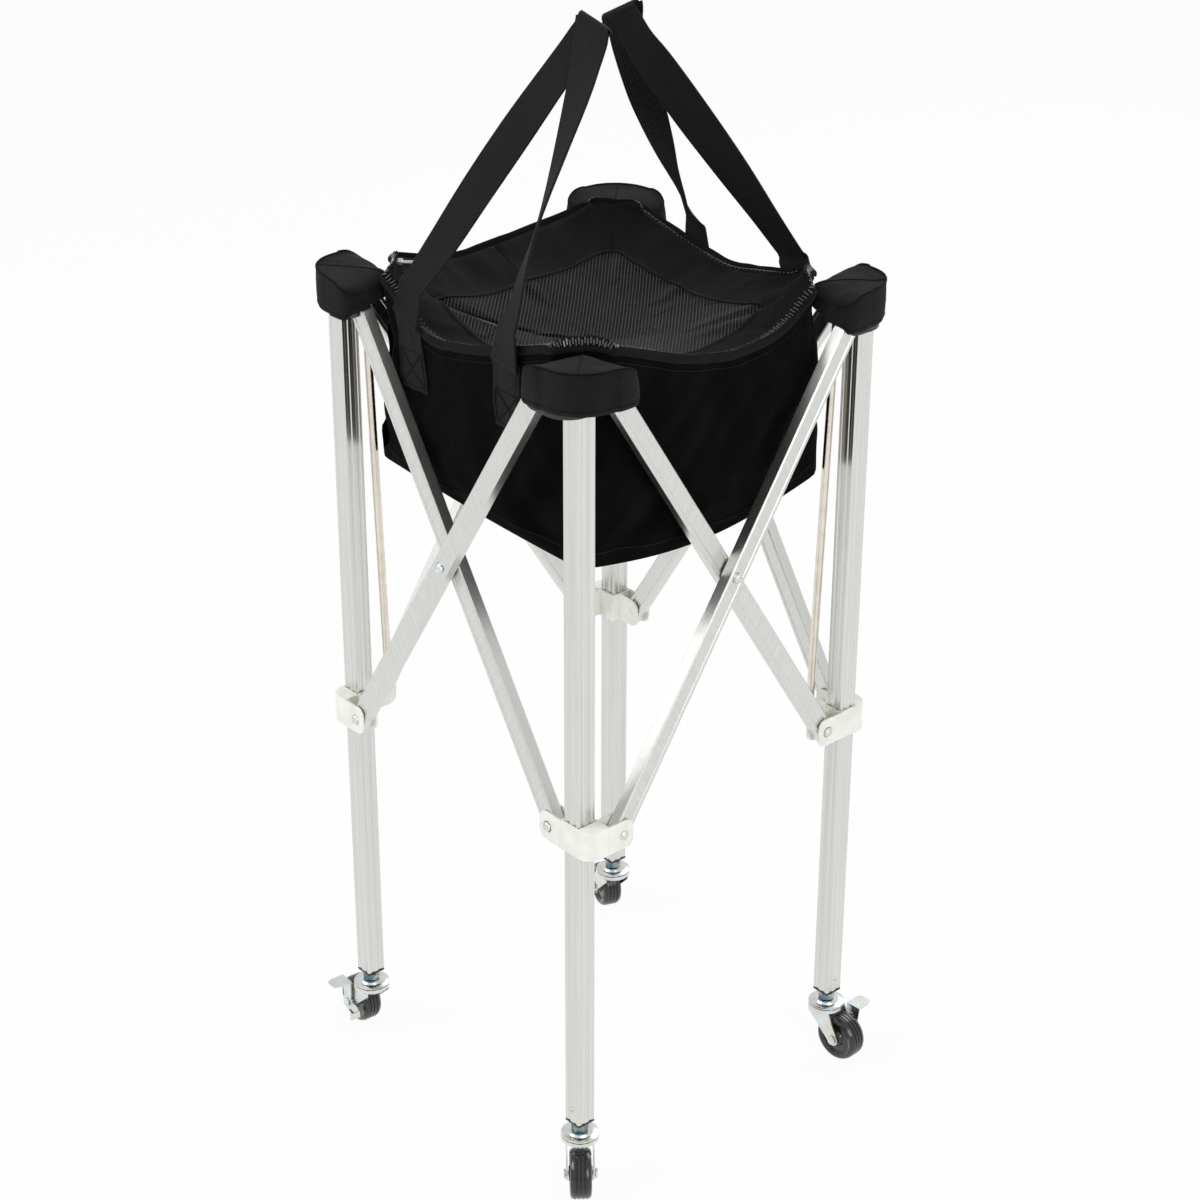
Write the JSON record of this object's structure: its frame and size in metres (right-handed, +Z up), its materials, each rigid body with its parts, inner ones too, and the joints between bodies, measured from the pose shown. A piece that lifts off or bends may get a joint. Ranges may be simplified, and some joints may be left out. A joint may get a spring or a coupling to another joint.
{
  "type": "ball basket",
  "caption": "Folding scissor-frame stand on casters that carries a zipped cloth bag for practice balls, with two webbing handles.",
  "frame": {"origin": "on the floor, under the middle of the four legs", "axes": "+Z up; -Y is the side with the front handle, +X the side to its right; the lid hinges on the -X side"},
  "size_m": [0.4348, 0.4147, 1.1094],
  "materials": {
    "aluminium": "satin anodised extrusion",
    "white_nylon": "moulded, slightly translucent white",
    "black_plastic": "moulded",
    "wheel_black": "smooth moulded tread",
    "zinc": "bright zinc plated steel",
    "chrome_rod": "polished",
    "black_cloth": "coated woven polyester",
    "black_net": "open net",
    "zip_black": "woven tape with glossy coarse teeth",
    "webbing": "ribbed webbing"
  },
  "bodies": {
    "leg_f": {"leg_f": "aluminium", "top_bracket_f": "black_plastic", "corner_pocket_f": "black_cloth", "leg_plug_f": "black_plastic", "caster_stem_f": "zinc"},
    "leg_r": {"leg_r": "aluminium", "top_bracket_r": "black_plastic", "corner_pocket_r": "black_cloth", "leg_plug_r": "black_plastic", "caster_stem_r": "zinc", "stop_rod_r": "chrome_rod"},
    "leg_b": {"leg_b": "aluminium", "top_bracket_b": "black_plastic", "corner_pocket_b": "black_cloth", "leg_plug_b": "black_plastic", "caster_stem_b": "zinc"},
    "leg_l": {"leg_l": "aluminium", "top_bracket_l": "black_plastic", "corner_pocket_l": "black_cloth", "leg_plug_l": "black_plastic", "caster_stem_l": "zinc", "stop_rod_l": "chrome_rod", "bag_body": "black_cloth", "zip_tape": "zip_black", "zip_pull": "zinc"},
    "inner_bar_front": {"inner_bar_front": "aluminium", "cross_bolt_front": "zinc"},
    "outer_bar_front": {"outer_bar_front": "aluminium"},
    "inner_bar_right": {"inner_bar_right": "aluminium", "cross_bolt_right": "zinc"},
    "outer_bar_right": {"outer_bar_right": "aluminium"},
    "inner_bar_back": {"inner_bar_back": "aluminium", "cross_bolt_back": "zinc"},
    "outer_bar_back": {"outer_bar_back": "aluminium"},
    "inner_bar_left": {"inner_bar_left": "aluminium", "cross_bolt_left": "zinc"},
    "outer_bar_left": {"outer_bar_left": "aluminium"},
    "slider_f": {"slider_f": "white_nylon"},
    "slider_r": {"slider_r": "white_nylon"},
    "slider_b": {"slider_b": "white_nylon"},
    "slider_l": {"slider_l": "white_nylon"},
    "caster_f": {"caster_fork_f": "zinc", "caster_axle_f": "zinc"},
    "wheel_f": {"caster_wheel_f": "wheel_black"},
    "caster_r": {"caster_fork_r": "zinc", "caster_axle_r": "zinc"},
    "wheel_r": {"caster_wheel_r": "wheel_black"},
    "brake_r": {"brake_lever_r": "zinc"},
    "caster_b": {"caster_fork_b": "zinc", "caster_axle_b": "zinc"},
    "wheel_b": {"caster_wheel_b": "wheel_black"},
    "caster_l": {"caster_fork_l": "zinc", "caster_axle_l": "zinc"},
    "wheel_l": {"caster_wheel_l": "wheel_black"},
    "brake_l": {"brake_lever_l": "zinc"},
    "lid": {"lid_border": "black_cloth"},
    "lid_net": {"lid_mesh": "black_net"},
    "handle_front": {"handle_front": "webbing"},
    "handle_rear": {"handle_rear": "webbing"}
  },
  "joints": [
    {"name": "fold", "type": "hinge", "parent": "leg_l", "child": "inner_bar_front", "pos_m": [-0.1396, -0.174, 0.83], "axis": [0, 1, 0], "range_deg": [0, 20], "deforming": ["bag_body", "zip_tape", "lid_border", "lid_mesh", "handle_front", "handle_rear"]},
    {"name": "cross_front", "type": "hinge", "parent": "inner_bar_front", "child": "outer_bar_front", "pos_m": [0, -0.181, 0.61325], "axis": [0, 1, 0], "range_deg": [-40, 0]},
    {"name": "top_pin_f", "type": "hinge", "parent": "outer_bar_front", "child": "leg_f", "pos_m": [0.1396, -0.188, 0.83], "axis": [0, 1, 0], "range_deg": [0, 20]},
    {"name": "slider_pin_f", "type": "hinge", "parent": "inner_bar_front", "child": "slider_f", "pos_m": [0.1396, -0.174, 0.3965], "axis": [0, 1, 0], "range_deg": [-20, 0]},
    {"name": "slider_pin_l", "type": "hinge", "parent": "outer_bar_front", "child": "slider_l", "pos_m": [-0.1396, -0.188, 0.3965], "axis": [0, 1, 0], "range_deg": [0, 20]},
    {"name": "fold_right", "type": "hinge", "parent": "leg_f", "child": "inner_bar_right", "pos_m": [0.174, -0.1396, 0.83], "axis": [-1, 0, 0], "range_deg": [0, 20]},
    {"name": "cross_right", "type": "hinge", "parent": "inner_bar_right", "child": "outer_bar_right", "pos_m": [0.181, 0, 0.61325], "axis": [-1, 0, 0], "range_deg": [-40, 0]},
    {"name": "top_pin_r", "type": "hinge", "parent": "outer_bar_right", "child": "leg_r", "pos_m": [0.188, 0.1396, 0.83], "axis": [-1, 0, 0], "range_deg": [0, 20]},
    {"name": "slider_pin_r", "type": "hinge", "parent": "inner_bar_right", "child": "slider_r", "pos_m": [0.174, 0.1396, 0.3965], "axis": [-1, 0, 0], "range_deg": [-20, 0]},
    {"name": "fold_back", "type": "hinge", "parent": "leg_r", "child": "inner_bar_back", "pos_m": [0.1396, 0.174, 0.83], "axis": [0, -1, 0], "range_deg": [0, 20]},
    {"name": "cross_back", "type": "hinge", "parent": "inner_bar_back", "child": "outer_bar_back", "pos_m": [0, 0.181, 0.61325], "axis": [0, -1, 0], "range_deg": [-40, 0]},
    {"name": "top_pin_b", "type": "hinge", "parent": "outer_bar_back", "child": "leg_b", "pos_m": [-0.1396, 0.188, 0.83], "axis": [0, -1, 0], "range_deg": [0, 20]},
    {"name": "slider_pin_b", "type": "hinge", "parent": "inner_bar_back", "child": "slider_b", "pos_m": [-0.1396, 0.174, 0.3965], "axis": [0, -1, 0], "range_deg": [-20, 0]},
    {"name": "fold_left", "type": "hinge", "parent": "leg_b", "child": "inner_bar_left", "pos_m": [-0.174, 0.1396, 0.83], "axis": [1, 0, 0], "range_deg": [0, 20]},
    {"name": "cross_left", "type": "hinge", "parent": "inner_bar_left", "child": "outer_bar_left", "pos_m": [-0.181, 0, 0.61325], "axis": [1, 0, 0], "range_deg": [-40, 0]},
    {"name": "swivel_f", "type": "hinge", "parent": "leg_f", "child": "caster_f", "pos_m": [0.17, -0.17, 0.05], "axis": [0, 0, 1], "continuous": true},
    {"name": "roll_f", "type": "hinge", "parent": "caster_f", "child": "wheel_f", "pos_m": [0.1871, -0.18385, 0.025], "axis": [0.6293, 0.7771, 0], "continuous": true},
    {"name": "swivel_r", "type": "hinge", "parent": "leg_r", "child": "caster_r", "pos_m": [0.17, 0.17, 0.05], "axis": [0, 0, 1], "continuous": true},
    {"name": "roll_r", "type": "hinge", "parent": "caster_r", "child": "wheel_r", "pos_m": [0.19195, 0.17153, 0.025], "axis": [-0.0698, 0.9976, 0], "continuous": true},
    {"name": "brake_r", "type": "hinge", "parent": "caster_r", "child": "brake_r", "pos_m": [0.19195, 0.17153, 0.025], "axis": [-0.0698, 0.9976, 0], "range_deg": [0, 20]},
    {"name": "swivel_b", "type": "hinge", "parent": "leg_b", "child": "caster_b", "pos_m": [-0.17, 0.17, 0.05], "axis": [0, 0, 1], "continuous": true},
    {"name": "roll_b", "type": "hinge", "parent": "caster_b", "child": "wheel_b", "pos_m": [-0.19067, 0.17752, 0.025], "axis": [-0.342, -0.9397, 0], "continuous": true},
    {"name": "swivel_l", "type": "hinge", "parent": "leg_l", "child": "caster_l", "pos_m": [-0.17, -0.17, 0.05], "axis": [0, 0, 1], "continuous": true},
    {"name": "roll_l", "type": "hinge", "parent": "caster_l", "child": "wheel_l", "pos_m": [-0.19195, -0.16847, 0.025], "axis": [-0.0698, -0.9976, 0], "continuous": true},
    {"name": "brake_l", "type": "hinge", "parent": "caster_l", "child": "brake_l", "pos_m": [-0.19195, -0.16847, 0.025], "axis": [-0.0698, -0.9976, 0], "range_deg": [0, 20]},
    {"name": "lid_open", "type": "hinge", "parent": "leg_l", "child": "lid", "pos_m": [-0.156, 0, 0.846], "axis": [0, -1, 0], "range_deg": [0, 105], "deforming": ["lid_border"]},
    {"name": "lid_open_back", "type": "hinge", "parent": "leg_b", "child": "lid_net", "pos_m": [-0.156, 0, 0.846], "axis": [0, -1, 0], "range_deg": [0, 105], "deforming": ["lid_mesh"]},
    {"name": "handle_front_swing", "type": "hinge", "parent": "leg_l", "child": "handle_front", "pos_m": [0, -0.1624, 0.824], "axis": [1, 0, 0], "range_deg": [-50, 150]},
    {"name": "handle_rear_swing", "type": "hinge", "parent": "leg_b", "child": "handle_rear", "pos_m": [0, 0.1624, 0.828], "axis": [-1, 0, 0], "range_deg": [-50, 150]}
  ],
  "couplings": [
    {"joint": "cross_front", "follows": "fold", "ratio": -2},
    {"joint": "top_pin_f", "follows": "fold", "ratio": 1},
    {"joint": "slider_pin_f", "follows": "fold", "ratio": -1},
    {"joint": "slider_pin_l", "follows": "fold", "ratio": 1},
    {"joint": "fold_right", "follows": "fold", "ratio": 1},
    {"joint": "cross_right", "follows": "fold", "ratio": -2},
    {"joint": "top_pin_r", "follows": "fold", "ratio": 1},
    {"joint": "slider_pin_r", "follows": "fold", "ratio": -1},
    {"joint": "fold_back", "follows": "fold", "ratio": 1},
    {"joint": "cross_back", "follows": "fold", "ratio": -2},
    {"joint": "top_pin_b", "follows": "fold", "ratio": 1},
    {"joint": "slider_pin_b", "follows": "fold", "ratio": -1},
    {"joint": "fold_left", "follows": "fold", "ratio": 1},
    {"joint": "cross_left", "follows": "fold", "ratio": -2},
    {"joint": "lid_open_back", "follows": "lid_open", "ratio": 1}
  ]
}
